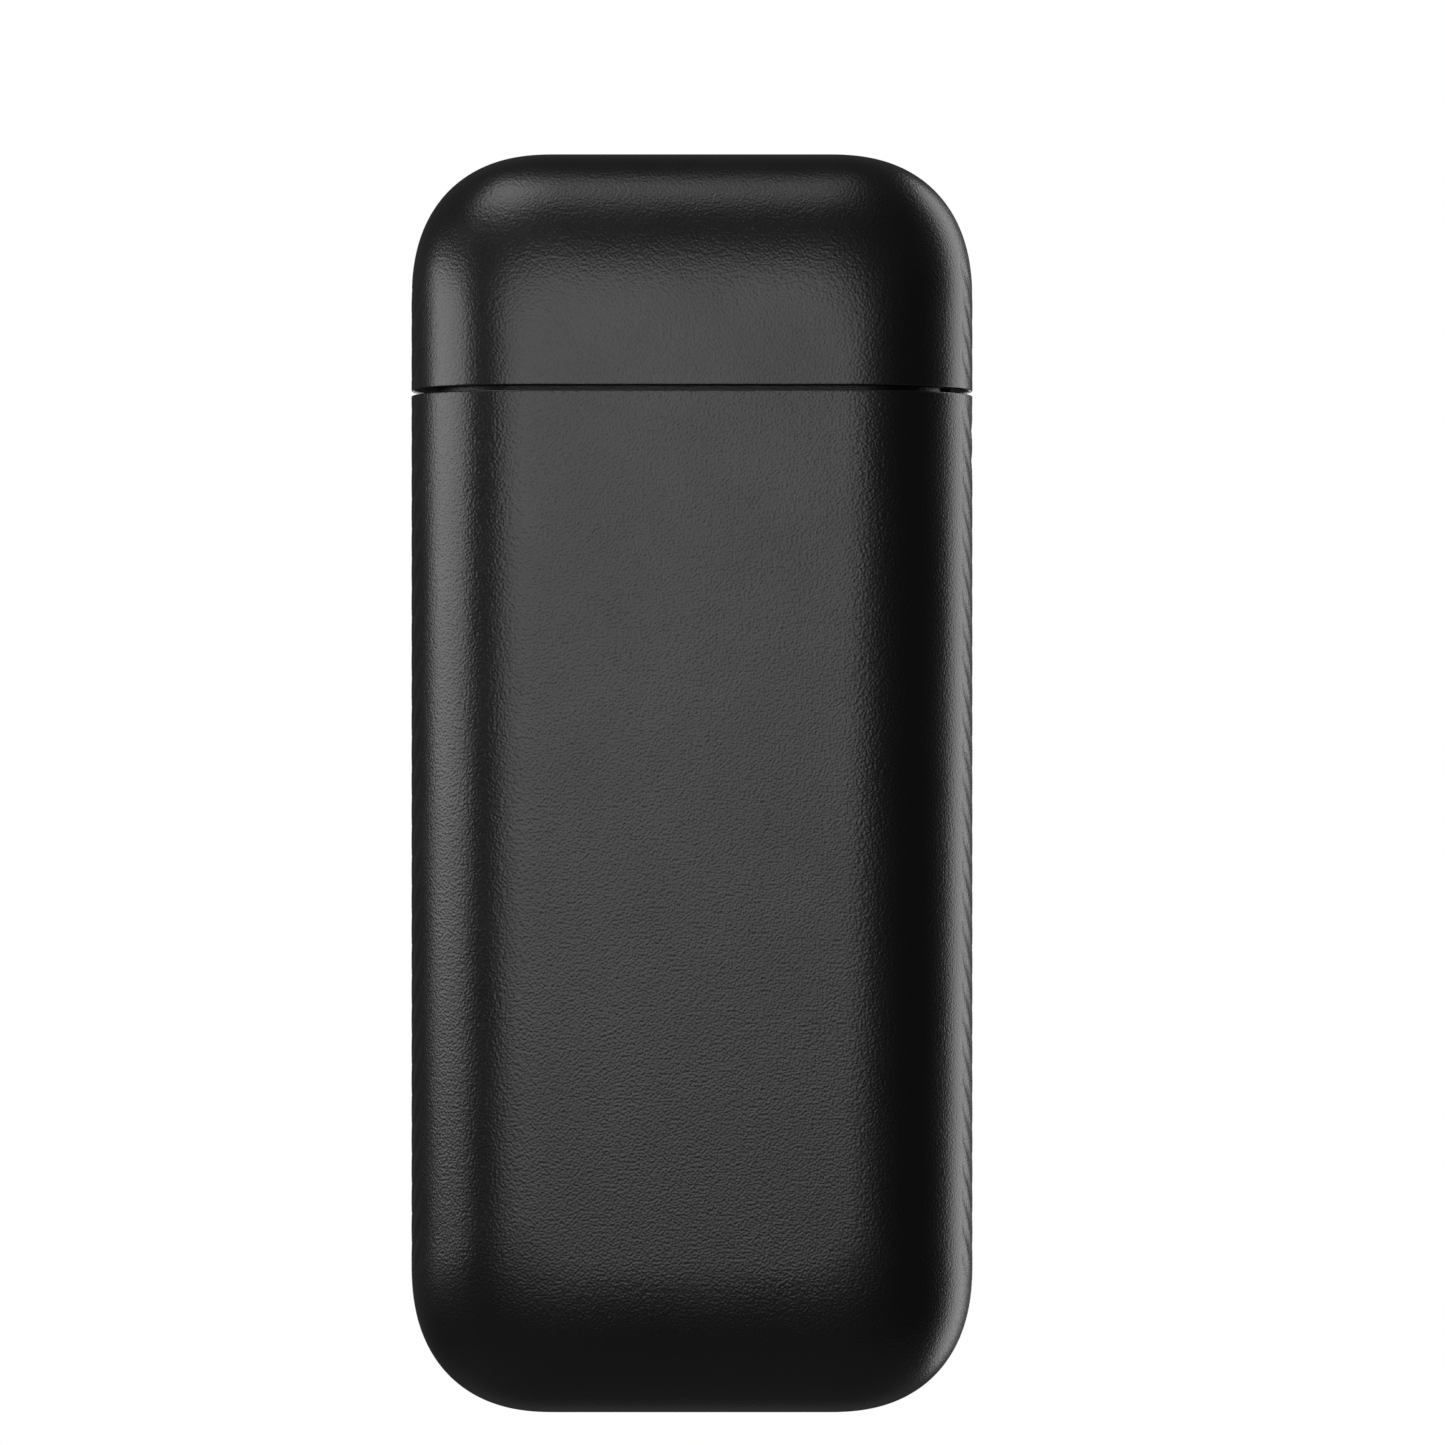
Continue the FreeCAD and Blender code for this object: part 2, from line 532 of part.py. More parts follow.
def make_arc_head():
    """Deck with its screws, the ceramic block with four posts and the four electrodes."""
    deck_form = overlap("deck_form", case_form("deck_outline", "( neck_inset + neck_wall + deck_gap )"),
                        block("deck_slab", WIDE, DEEP, ("deck_level", "deck_level + deck_thick")))
    openings = [
        block("deck_window", ("-block_half_x - 0.1", "block_half_x + 0.1"),
              ("-block_half_y - 0.1", "block_half_y + 0.1"), ("deck_level - 1", "deck_level + 3")),
        block("deck_hinge_notch", ("hinge_side - 2.4", "case_width"), plus_minus("bay_half"),
              ("deck_level - 1", "deck_level + 3")),
    ]
    screws = []
    for side, sign in SIDES:
        across = f"{sign}deck_screw_side"
        openings.append(rod(f"deck_hole_{side}", "screw_shank", "3", (across, "0", "deck_level - 1")))
        screws.append(screw(f"deck_screw_{side}", "screw_head", "screw_shank", "screw_head_height", "4",
                            (across, "0", "deck_level + deck_thick")))
    node("top_deck", cut("top_deck", deck_form, openings))
    node("deck_screws", group("deck_screws", screws))

    solids = [bar("insulator_block", "z", "0.8", plus_minus("block_half_x"), plus_minus("block_half_y"),
                  ("floor_level", "block_top"))]
    holes = []
    for depth, front in DEPTHS:
        for side, sign in SIDES:
            across = f"{sign}arc_half_x"
            along = f"{front}arc_half_y"
            solids.append(rod(f"boss_{depth}_{side}", "boss_radius", "boss_top - floor_level",
                              (across, along, "floor_level")))
            holes.append(rod(f"boss_hole_{depth}_{side}", "electrode_radius", "case_height",
                             (across, along, "floor_level - 1")))
            head = "boss_top - electrode_low"
            top = "electrode_top - electrode_low"
            node(f"electrode_{depth}_{side}", turned(
                f"electrode_{depth}_{side}",
                [("0", "0"), ("electrode_radius", "0"), ("electrode_radius", head), ("0.95", head),
                 ("0.95", f"{head} + 0.6"), ("electrode_radius", f"{head} + 0.85"),
                 ("electrode_radius", f"{top} - 0.7"), ("0.25", top), ("0", top)],
                (across, along, "electrode_low")))
    node("arc_insulator", cut("arc_insulator", union("insulator_solid", solids), holes))


# ---- power button ----------------------------------------------------------------------------------

def make_button():
    """Push cap with flange and stem, soft washer, ring and switch; heights are places along Y."""
    seat = ("0", "0", "button_level")
    face = REAR_FACE
    switch_face = f"{BOARD_REAR} + plunger_low + plunger_long"
    stem_tip = f"{switch_face} + button_travel + 0.1"
    flange = f"{face} - flange_depth"
    node("power_button", turned(
        "power_button",
        [("0", stem_tip), ("stem_radius", stem_tip), ("stem_radius", f"{flange} - flange_thick"),
         ("button_radius + 0.6", f"{flange} - flange_thick"), ("button_radius + 0.6", flange),
         ("button_radius", flange), ("button_radius", f"{face} - 0.25"),
         ("button_radius - 0.4", f"{face} - 0.05"), ("button_radius * 0.5", f"{face} - 0.25"),
         ("0", f"{face} - 0.35")],
        seat, TO_REAR))
    low = f"{face} - membrane_depth"
    web = f"{low} + membrane_thick"
    wall = f"{face} - body_wall"
    node("button_membrane", turned(
        "button_membrane",
        [("stem_radius + 0.3", low), ("membrane_radius", low), ("membrane_radius", wall),
         ("bezel_radius", wall), ("bezel_radius", web), ("stem_radius + 0.3", web)],
        seat, TO_REAR))
    inner = "button_radius + button_side_gap"
    node("button_bezel", turned(
        "button_bezel",
        [(inner, f"{face} - bezel_seat"), ("bezel_radius", f"{face} - bezel_seat"),
         ("bezel_radius", f"{face} - 0.05"),
         ("bezel_radius - 0.25", face), (f"{inner} + 0.3", face), (inner, f"{face} - 0.3")],
        seat, TO_REAR))
    body = block("switch_body", plus_minus("switch_half"), (BOARD_REAR, f"{BOARD_REAR} + switch_high"),
                 ("button_level - switch_half", "button_level + switch_half"))
    plunger = rod("switch_plunger", "1", "plunger_long",
                  ("0", f"{BOARD_REAR} + plunger_low", "button_level"), TO_REAR)
    node("tact_switch", union("tact_switch", [body, plunger]))


# ---- board, charging, cell and coils ---------------------------------------------------------------

def make_board():
    """Board with its screws, chips, charge lights and lenses, lid sensor and capacitor."""
    board_y = f"{BOARD_REAR} - board_thick / 2"
    board = profile(
        "main_board", "XZ_Plane",
        [("-board_half", "window_round"), ("-board_half + window_round", "0"),
         ("board_half - window_round", "0"), ("board_half", "window_round"),
         ("board_half", "board_top - board_low - window_round"),
         ("board_half - window_round", "board_top - board_low"),
         ("-board_half + window_round", "board_top - board_low"),
         ("-board_half", "board_top - board_low - window_round")],
        "board_thick", ("0", board_y, "board_low"),
        [("board_screw_radius + 0.05", (f"{sign}board_screw_side", "board_screw_level - board_low"))
         for _, sign in SIDES])
    node("main_board", board)
    screws = [screw(f"board_screw_{side}", "2 * board_screw_radius", "board_screw_radius", "0.5", "3.4",
                    (f"{sign}board_screw_side", BOARD_REAR, "board_screw_level"), TO_REAR)
              for side, sign in SIDES]
    node("board_screws", group("board_screws", screws))

    chips = [  # left, low, width, height and thickness of each chip
        (-6, 26, 5, 5, 0.9), (2, 32, 4, 3, 0.9), (-9, 12, 4, 4, 1), (3, 12, 4, 4, 2), (-9, 33.5, 3, 2, 0.9),
    ]
    node("control_chips", group("control_chips", [
        block(f"chip_{index}", (str(left), str(left + wide)), (BOARD_REAR, f"{BOARD_REAR} + {thick}"),
              (str(low), str(low + high)))
        for index, (left, low, wide, high, thick) in enumerate(chips)]))

    lights = []
    lenses = []
    for index in range(4):
        across = lens_across(index)
        lights.append(block(f"light_{index}", (f"{across} - 0.5", f"{across} + 0.5"),
                            (BOARD_REAR, f"{BOARD_REAR} + 0.6"), ("lens_level - 0.3", "lens_level + 0.3")))
        lenses.append(rod(f"lens_{index}", "lens_radius", f"{REAR_FACE} - {BOARD_REAR} - lens_start",
                          (across, f"{BOARD_REAR} + lens_start", "lens_level"), TO_REAR))
    node("indicator_leds", group("indicator_leds", lights))
    node("indicator_lenses", group("indicator_lenses", lenses))
    node("lid_sensor", block("lid_sensor", ("-12", "-9"), ("3.2", "4.4"), ("floor_level", "floor_level + 4")))
    chamfer = "capacitor_radius - 0.3"
    node("charge_capacitor", turned(
        "charge_capacitor",
        [("0", "0"), (chamfer, "0"), ("capacitor_radius", "0.3"), ("capacitor_radius", "capacitor_long - 0.3"),
         (chamfer, "capacitor_long"), ("0", "capacitor_long")],
        ("capacitor_side", "board_front - capacitor_radius", "capacitor_level"), TO_RIGHT))


def make_socket():
    """Charging socket: a rounded metal can, open at the base, with a contact tongue inside."""
    can = bar("socket_can", "z", "socket_round", plus_minus("socket_half_x"), plus_minus("socket_half_y"),
              ("socket_low", "socket_top"))
    hollow = bar("socket_hollow", "z", "socket_round - socket_wall",
                 ("-socket_half_x + socket_wall", "socket_half_x - socket_wall"),
                 ("-socket_half_y + socket_wall", "socket_half_y - socket_wall"),
                 (BELOW, "socket_top - socket_back"))
    node("usb_socket", cut("usb_socket", can, [hollow]))
    node("usb_tongue", block("usb_tongue", plus_minus("tongue_half_x"), plus_minus("tongue_half_y"),
                             ("tongue_low", "socket_top - socket_back")))


def make_power():
    """Cell with its pad and leads, the two step-up transformers and the four high-voltage leads."""
    node("battery_cell", bar("battery_cell", "z", "0.4 * cell_thick", plus_minus("cell_half"),
                             ("cell_front", "cell_front + cell_thick"), ("cell_low", "cell_top")))
    node("battery_pad", block("battery_pad", ("-9", "9"), ("cell_front + cell_thick", "board_front"),
                              ("cell_low + 3.5", "cell_top - 3")))
    middle = number("cell_front + cell_thick / 2")
    top = number("cell_top")
    wires = [bent_wire([Vector(across, middle, top), Vector(across, middle, top + 1.8),
                        Vector(across, number("board_front"), top + 1.8)], 0.45) for across in (-1.5, 1.5)]
    leads = doc.addObject("Part::Feature", "battery_leads")
    leads.Shape = Part.makeCompound(wires)
    leads.Placement = Placement()
    node("battery_leads", leads)

    for side, sign in SIDES:
        centre = f"{sign}coil_side"
        core = block(f"core_block_{side}", (f"{centre} - coil_half", f"{centre} + coil_half"),
                     ("coil_front", "coil_front + coil_depth"), ("coil_low", "coil_top"))
        opening = block(f"core_window_{side}",
                        (f"{centre} - coil_half + core_leg", f"{centre} + coil_half - core_leg"),
                        DEEP, ("coil_low + core_web", "coil_top - core_web"))
        node(f"transformer_core_{side}", cut(f"transformer_core_{side}", core, [opening]))
        tall = "coil_top - coil_low - 2 * core_web"
        node(f"transformer_winding_{side}", turned(
            f"transformer_winding_{side}",
            [("0", "0"), ("bobbin_radius", "0"), ("bobbin_radius", "bobbin_rim"), ("coil_radius", "bobbin_rim"),
             ("coil_radius", f"{tall} - bobbin_rim"), ("bobbin_radius", f"{tall} - bobbin_rim"),
             ("bobbin_radius", tall), ("0", tall)],
            (centre, "coil_front + coil_depth / 2", "coil_low + core_web")))
    leads = []
    for depth, front, low in (("front", "-", "coil_top"), ("rear", "", "coil_top - 2")):
        for side, sign in SIDES:
            leads.append(rod(f"arc_lead_{depth}_{side}", "0.55", f"electrode_low - ( {low} )",
                             (f"{sign}arc_half_x", f"{front}arc_half_y", low)))
    node("arc_leads", group("arc_leads", leads))


# ---- build, check and write ------------------------------------------------------------------------

for make in (make_lid, make_body_shell, make_inner_frame, make_hinge, make_arc_head, make_button,
             make_board, make_socket, make_power):
    make()
doc.recompute()

for thing in doc.Objects:
    if "Invalid" in thing.State or "Error" in thing.State:
        raise RuntimeError(f"{thing.Name} failed: {thing.State}")
for piece in nodes:
    if piece.Shape.isNull() or not piece.Shape.isValid():
        raise RuntimeError(f"{piece.Label} has no valid shape")

os.makedirs("parts", exist_ok=True)
for piece in nodes:
    piece.Shape.exportStep(f"parts/{piece.Label}.step")
print(f"{len(nodes)} sub-parts written")
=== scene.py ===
"""Flip-top electric-arc pocket lighter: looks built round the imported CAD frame.

Metres, +Z up, +X the hinge side, -Y the plain wide face, +Y the face with the power button.
"""
import json
import math

import bmesh
import bpy
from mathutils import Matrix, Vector


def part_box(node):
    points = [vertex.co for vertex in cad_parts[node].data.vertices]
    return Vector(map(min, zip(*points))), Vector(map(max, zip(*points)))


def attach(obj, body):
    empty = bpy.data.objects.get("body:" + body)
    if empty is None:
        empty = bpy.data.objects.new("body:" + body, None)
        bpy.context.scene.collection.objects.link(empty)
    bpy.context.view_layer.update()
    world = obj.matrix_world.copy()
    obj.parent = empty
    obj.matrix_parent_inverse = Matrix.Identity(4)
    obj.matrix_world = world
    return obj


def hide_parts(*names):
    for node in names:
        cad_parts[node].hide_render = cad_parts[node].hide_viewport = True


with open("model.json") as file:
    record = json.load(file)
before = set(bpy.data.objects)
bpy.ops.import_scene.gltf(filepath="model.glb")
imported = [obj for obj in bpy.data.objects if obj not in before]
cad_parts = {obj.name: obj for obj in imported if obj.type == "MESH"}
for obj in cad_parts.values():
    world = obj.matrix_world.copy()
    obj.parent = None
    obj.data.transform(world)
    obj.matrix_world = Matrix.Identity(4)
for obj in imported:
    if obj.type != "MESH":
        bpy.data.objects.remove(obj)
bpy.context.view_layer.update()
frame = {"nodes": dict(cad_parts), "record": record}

MM = 0.001
nodes = frame["nodes"]
scene = bpy.context.scene

# ---- what the frame gives --------------------------------------------------------------------------
BODY_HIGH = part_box("body_shell")[1]
LID_LOW, LID_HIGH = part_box("lid_shell")
HALF_X = BODY_HIGH.x
HALF_Y = BODY_HIGH.y
TOP = LID_HIGH.z
RIM = BODY_HIGH.z
SEAM = LID_LOW.z

# ---- the form of the case --------------------------------------------------------------------------
CORNER = 10.0 * MM          # reach of a corner of the front outline
CORNER_INNER = 4.0 * MM     # reach of the corner where the wide face turns flat
SIDE_REACH = 9.2 * MM       # how far the rounding runs in from a narrow side
END_REACH = 11.0 * MM       # how far it runs in from the top and the base
END_FLAT = 3.3 * MM         # half depth of the flat strip along the top and the base
OUTLINE_POWER = 2.40        # roundness of the front outline's corners
PROFILE_POWER = 2.33        # roundness of the edge between a wide face and a narrow side
INNER_POWER = 2.0           # the skins inside the walls are rounded by plain circles
INNER_CORNER = 8.7 * MM     # the same reaches for the inner skins, before the wall is taken off
INNER_CORNER_SHARE = 0.35   # part of the inner skin's corner that is left where its wide face turns flat
INNER_REACH = 8.0 * MM
INNER_FLAT = 1.5 * MM
BODY_WALL = 1.8 * MM
LID_WALL = 1.5 * MM
EDGE = 0.08 * MM            # small round on the seam's edges
SLOT_HALF = 1.45 * MM       # half width of the hinge's slot through the body's side
POCKET_HALF = 2.5 * MM      # half width of the pocket behind it, for the bracket's ears
SLOT_LOW = 63.8 * MM

LID_ROWS = (90, 44, 12)     # rows of points along a side, round a corner and along the end
BODY_ROWS = (500, 44, 12)
INNER_ROWS = (2, 20, 6)
TURNS = 96                  # steps from the front face round to the rear face
ROLL_ANGLES = (30, 60, 90)  # steps of the small round on the seam's edges
SHELL_SHARP = 50.0          # edges bent by more degrees than this stay sharp
CARVED_SHARP = 40.0         # the same after the openings are cut

RIB_PITCH = 2.05 * MM       # measured along the height
RIB_DEPTH = 0.065 * MM
RIB_HALF = 4.9 * MM         # half width of the ribbed panel on a narrow side
RIB_MARGIN = 0.65 * MM      # plain rim above and below the seam
RIB_LOW = 9.6 * MM
RIB_HIGH = TOP - 7.3 * MM
RIB_SIDE_FADE = 0.5 * MM    # over this width the ribs die away towards the wide faces
RIB_END_FADE = 0.4 * MM     # and over this height at the panel's ends
RIB_REACH = 3.0 * MM        # ribbed points lie no further in than this
GROOVE_START = 0.15         # part of the wave where a groove starts
GROOVE_FULL = 0.95          # and where it has its full depth

# ---- openings in the body --------------------------------------------------------------------------
FIT_GAP = 0.02 * MM         # between an opening and the part in it
SOCKET_GAP = 0.15 * MM
BUTTON_HOLE = 4.7 * MM      # radius
BEZEL_SEAT = 1.3 * MM       # depth
LENS_FLARE = 0.14 * MM      # how far the bevelled seat of a lens widens
LENS_FLARE_DEPTH = 0.12 * MM
OVERSHOOT = 0.01 * MM
CUT_DEPTH = 3.0 * MM        # how far a cutter goes into the case
CUT_BEYOND = 2.0 * MM       # how far a cutter stands out of the case
SIDE_CUT_DEPTH = 6.0 * MM
SOCKET_MOUTH = (            # widening, corner radius and height in mm, from inside to below the base
    (0.0, 1.55, 3.0), (0.0, 1.55, 0.3), (0.3, 1.85, -0.02), (0.3, 1.85, -3.0))

# ---- camera and light ------------------------------------------------------------------------------
CAMERA_PLACE = (2.1 * MM, -430.0 * MM, 47.15 * MM)
CAMERA_LENS = 155.35
SENSOR_WIDTH = 36.0
CLIP_START = 0.01
FLOOR_REACH = 3.0
LAMP_DISTANCE = 0.6
LAMPS = (                   # name, azimuths and elevations in degrees, radiance
    ("front", (-26, 10.5), (-7, 19.5), 2.7),
    ("left", (-107, -59.5), (-3, 18), 3.9),
    ("right_rear", (108, 142.5), (-35, 45), 2.12),
    ("rear", (170, 190), (-13, -3), 2.0),
    ("top", (-12, 12), (53, 79), 1.4),
    ("top_left", (-66, -35), (46, 69), 3.7),
)
GLOW_ABOVE = 0.05           # faint light of the surround, above and behind
GLOW_BELOW = 0.11
GLOW_FRONT = 0.016
GLOW_REAR = 0.06

# ---- surfaces --------------------------------------------------------------------------------------
EDGE_GLINT = 0.12 * MM      # width of the soft edges on the inner parts
EDGE_SAMPLES = 6
NOISE_LOW = 0.3             # most of a noise texture's values lie between these
NOISE_HIGH = 0.7
PATCH = 6.0 * MM            # size of the faint patches in the black plastic
PATCH_DARK = 0.92           # tones of the patches, against the plain one
PATCH_LIGHT = 1.06
PATCH_BLUE = 1.09
COOL = 1.03                 # blue against red and green in the plain tone
PATCH_ROUGHNESS = 0.015
METAL_DARK = 0.85
METAL_ROUGHNESS = 0.08
METAL_RELIEF = 0.0015 * MM
SOLID_DARK = 0.82
SOLID_ROUGHNESS = 0.06
MIX_FIRST = 6               # colour sockets of a mix node
MIX_SECOND = 7
MIX_RESULT = 2


def smoothstep(low, high, value):
    """0 below low, 1 above high, and a smooth rise between."""
    part = min(max((value - low) / (high - low), 0.0), 1.0)
    return part * part * (3.0 - 2.0 * part)


def rounded(angle, power):
    """Point of a unit superellipse in its first quarter."""
    return max(math.cos(angle), 0.0) ** (2.0 / power), max(math.sin(angle), 0.0) ** (2.0 / power)


class Form:
    """The case's outer skin, or with an inset the inner skin behind the wall.

    A point on it is a place along the outline and a turn from the front face round to the rear one.
    """

    def __init__(self, inset=0.0):
        inner = inset > 0.0
        self.power = INNER_POWER if inner else PROFILE_POWER
        self.half_x = HALF_X - inset
        self.half_y = HALF_Y - inset
        self.low = inset
        self.high = TOP - inset
        self.corner = (INNER_CORNER if inner else CORNER) - inset
        self.corner_inner = INNER_CORNER_SHARE * self.corner if inner else CORNER_INNER
        self.corner_power = INNER_POWER if inner else OUTLINE_POWER
        self.side_reach = (INNER_REACH if inner else SIDE_REACH) - inset
        self.end_reach = (INNER_REACH if inner else END_REACH) - inset
        self.side_flat = INNER_FLAT if inner else 0.0
        self.end_flat = INNER_FLAT if inner else END_FLAT

    def turn(self, angle, endness):
        """(how far in, how far from the middle plane) at a turn from -90 (front) to 90 (rear) degrees."""
        inward, outward = rounded(abs(angle), self.power)
        flat = self.side_flat + (self.end_flat - self.side_flat) * endness
        depth = flat + (self.half_y - flat) * outward
        return 1.0 - inward, math.copysign(depth, angle) if angle else 0.0

    def edge(self, inward):
        """Half width, top, base and corner reach of the outline at one depth of the rounding."""
        half_x = self.half_x - self.side_reach * inward
        high = self.high - self.end_reach * inward
        low = self.low + self.end_reach * inward
        corner = self.corner + (self.corner_inner - self.corner) * inward
        return half_x, high, low, corner


def lid_path(form, counts, seam):
    """Places along the lid's outline, from the left end of the seam over the top to its right end."""
    side_rows, corner_rows, top_rows = counts
    places = [("side", -1, step / side_rows) for step in range(side_rows)]
    places += [("corner", -1, step / corner_rows) for step in range(corner_rows)]
    places += [("end", 0, step / top_rows) for step in range(top_rows + 1)]
    places += [("corner", 1, 1.0 - step / corner_rows) for step in range(1, corner_rows + 1)]
    places += [("side", 1, 1.0 - step / side_rows) for step in range(1, side_rows + 1)]

    def locate(place, inward):
        kind, hand, part = place
        half_x, high, _, corner = form.edge(inward)
        if kind == "side":
            return hand * half_x, seam + (high - corner - seam) * part
        if kind == "corner":
            across, along = rounded(part * math.pi / 2, form.corner_power)
            return hand * (half_x - corner + corner * across), high - corner + corner * along
        return -(half_x - corner) + 2.0 * (half_x - corner) * part, high

    return places, locate


def endness_of(place):
    """0 along a narrow side, 1 along the top or the base, and between them round a corner."""
    kind, _, part = place
    if kind == "end":
        return 1.0
    return smoothstep(0.0, 1.0, part) if kind == "corner" else 0.0


def rib_height(point, low, high):
    """Depth of the slanted grip grooves at a point of a narrow side."""
    across = 1.0 - smoothstep(RIB_HALF - RIB_SIDE_FADE, RIB_HALF, abs(point.y))
    above = smoothstep(low, low + RIB_END_FADE, point.z)
    below = 1.0 - smoothstep(high - RIB_END_FADE, high, point.z)
    phase = (point.z + point.y) / RIB_PITCH * 2.0 * math.pi
    groove = smoothstep(GROOVE_START, GROOVE_FULL, 0.5 + 0.5 * math.cos(phase))
    return RIB_DEPTH * across * (above * below) * groove


def cap_mesh(form, seam, upward, counts, ribs=None):
    """Rows of points over one end of the case.

    upward is False for the body, which is the mirror image of a very tall lid.
    """
    mirror = form.high + form.low
    start = seam if upward else mirror - seam
    places, locate = lid_path(form, counts, start)
    rows = []
    for place in places:
        endness = endness_of(place)
        row = []
        for step in range(TURNS + 1):
            angle = (step / TURNS - 0.5) * math.pi
            inward, depth = form.turn(angle, endness)
            x, z = locate(place, inward)
            point = Vector((x, depth, z if upward else mirror - z))
            row.append(point)
        rows.append(row)
    if ribs:
        low, high = ribs
        for row in rows:
            for point in row:
                if abs(point.x) > HALF_X - RIB_REACH and abs(point.y) < RIB_HALF:
                    point.x -= math.copysign(rib_height(point, low, high), point.x)
    return rows


def new_object(name, mesh):
    piece = bpy.data.objects.new(name, mesh)
    scene.collection.objects.link(piece)
    return piece


def finish_mesh(name, bm):
    """Turn a bmesh into an object with outward faces, smooth but for its sharp edges."""
    bmesh.ops.recalc_face_normals(bm, faces=bm.faces)
    for face in bm.faces:
        face.smooth = True
    for edge in bm.edges:
        if len(edge.link_faces) == 2 and edge.calc_face_angle(0.0) > math.radians(SHELL_SHARP):
            edge.smooth = False
    mesh = bpy.data.meshes.new(name)
    bm.to_mesh(mesh)
    bm.free()
    return new_object(name, mesh)


def add_grid(bm, rows):
    """Quads over rows of points."""
    grid = [[bm.verts.new(point) for point in row] for row in rows]
    for low, high in zip(grid, grid[1:]):
        for step in range(len(low) - 1):
            bm.faces.new((low[step], low[step + 1], high[step + 1], high[step]))
    return grid


def close_faces(bm, grid):
    """The two flat wide faces, each one polygon inside the rounding."""
    bm.faces.new([row[0] for row in grid])
    bm.faces.new([row[-1] for row in reversed(grid)])


def rim_loop(grid):
    """The open end of a skin, once round."""
    return list(grid[0]) + list(reversed(grid[-1]))


def rolled_loop(bm, loop, middle, angle, sign):
    """A loop part of the way round the small round between a skin and the rim."""
    turn = math.radians(angle)
    rolled = []
    for vert, centre in zip(loop, middle):
        inward = Vector((centre.x - vert.co.x, centre.y - vert.co.y, 0.0)).normalized()
        shift = inward * EDGE * (1.0 - math.cos(turn)) - Vector((0, 0, sign * EDGE * math.sin(turn)))
        rolled.append(bm.verts.new(vert.co + shift))
    return rolled


def bridge(bm, first, second):
    """Quads between two closed loops."""
    count = len(first)
    for step in range(count):
        after = (step + 1) % count
        bm.faces.new((first[step], first[after], second[after], second[step]))


def shell(name, seam, upward, wall, ribs):
    """One hollow half of the case: outer skin, rounded seam edge and inner skin, as one closed mesh."""
    sign = 1.0 if upward else -1.0
    start = seam + sign * EDGE
    bm = bmesh.new()
    outer = add_grid(bm, cap_mesh(Form(), start, upward, LID_ROWS if upward else BODY_ROWS, ribs))
    inner = add_grid(bm, cap_mesh(Form(wall), start, upward, INNER_ROWS))
    close_faces(bm, outer)
    close_faces(bm, inner)
    rim_outer = rim_loop(outer)
    rim_inner = rim_loop(inner)
    middle = [(a.co + b.co) / 2 for a, b in zip(rim_outer, rim_inner)]
    outer_rolls = [rolled_loop(bm, rim_outer, middle, angle, sign) for angle in ROLL_ANGLES]
    inner_rolls = [rolled_loop(bm, rim_inner, middle, angle, sign) for angle in reversed(ROLL_ANGLES)]
    loops = [rim_outer] + outer_rolls + inner_rolls + [rim_inner]
    for first, second in zip(loops, loops[1:]):
        bridge(bm, first, second)
    return finish_mesh(name, bm)


# ---- cutting openings ------------------------------------------------------------------------------

def cutter_prism(name, loops):
    """Closed cutter from loops of points, one after another."""
    bm = bmesh.new()
    rings = [[bm.verts.new(point) for point in loop] for loop in loops]
    for first, second in zip(rings, rings[1:]):
        bridge(bm, first, second)
    bm.faces.new(rings[0])
    bm.faces.new(list(reversed(rings[-1])))
    bmesh.ops.recalc_face_normals(bm, faces=bm.faces)
    mesh = bpy.data.meshes.new(name)
    bm.to_mesh(mesh)
    bm.free()
    return new_object(name, mesh)


def block_cutter(name, xs, half_y, zs):
    """Rectangular cutter between two values of x and two of z."""
    loops = [[Vector((x, -half_y, zs[0])), Vector((x, half_y, zs[0])),
              Vector((x, half_y, zs[1])), Vector((x, -half_y, zs[1]))] for x in xs]
    return cutter_prism(name, loops)


def circle_loop(centre, radius, y, count=48):
    """Circle that faces along Y, round a centre given as x and z."""
    return [Vector((centre[0] + radius * math.cos(a), y, centre[1] + radius * math.sin(a)))
            for a in (2 * math.pi * step / count for step in range(count))]


def stadium_loop(half_x, half_y, radius, z, count=8):
    """Rounded rectangle on a level."""
    points = []
    for quarter, (sx, sy) in enumerate(((1, 1), (-1, 1), (-1, -1), (1, -1))):
        for step in range(count + 1):
            angle = (quarter + step / count) * math.pi / 2
            points.append(Vector((sx * (half_x - radius) + radius * math.cos(angle),
                                  sy * (half_y - radius) + radius * math.sin(angle), z)))
    return points


def carve(piece, cutters):
    """Take closed cutters out of a piece and drop them."""
    for cutter in cutters:
        knife = piece.modifiers.new("carve", "BOOLEAN")
        knife.operation = "DIFFERENCE"
        knife.solver = "EXACT"
        knife.object = cutter
    bpy.context.view_layer.update()
    shape = bpy.data.meshes.new_from_object(piece.evaluated_get(bpy.context.evaluated_depsgraph_get()))
    piece.modifiers.clear()
    shape.set_sharp_from_angle(angle=math.radians(CARVED_SHARP))
    piece.data = shape
    for cutter in cutters:
        bpy.data.objects.remove(cutter)


# ---- camera, light and stage -----------------------------------------------------------------------

def make_camera():
    """Level camera in front of the wide face, a little right of the middle and above half height."""
    camera = bpy.data.objects.new("camera", bpy.data.cameras.new("camera"))
    camera.location = CAMERA_PLACE
    camera.rotation_euler = (math.pi / 2, 0.0, 0.0)
    camera.data.lens = CAMERA_LENS
    camera.data.sensor_width = SENSOR_WIDTH
    camera.data.clip_start = CLIP_START
    scene.collection.objects.link(camera)
    scene.camera = camera


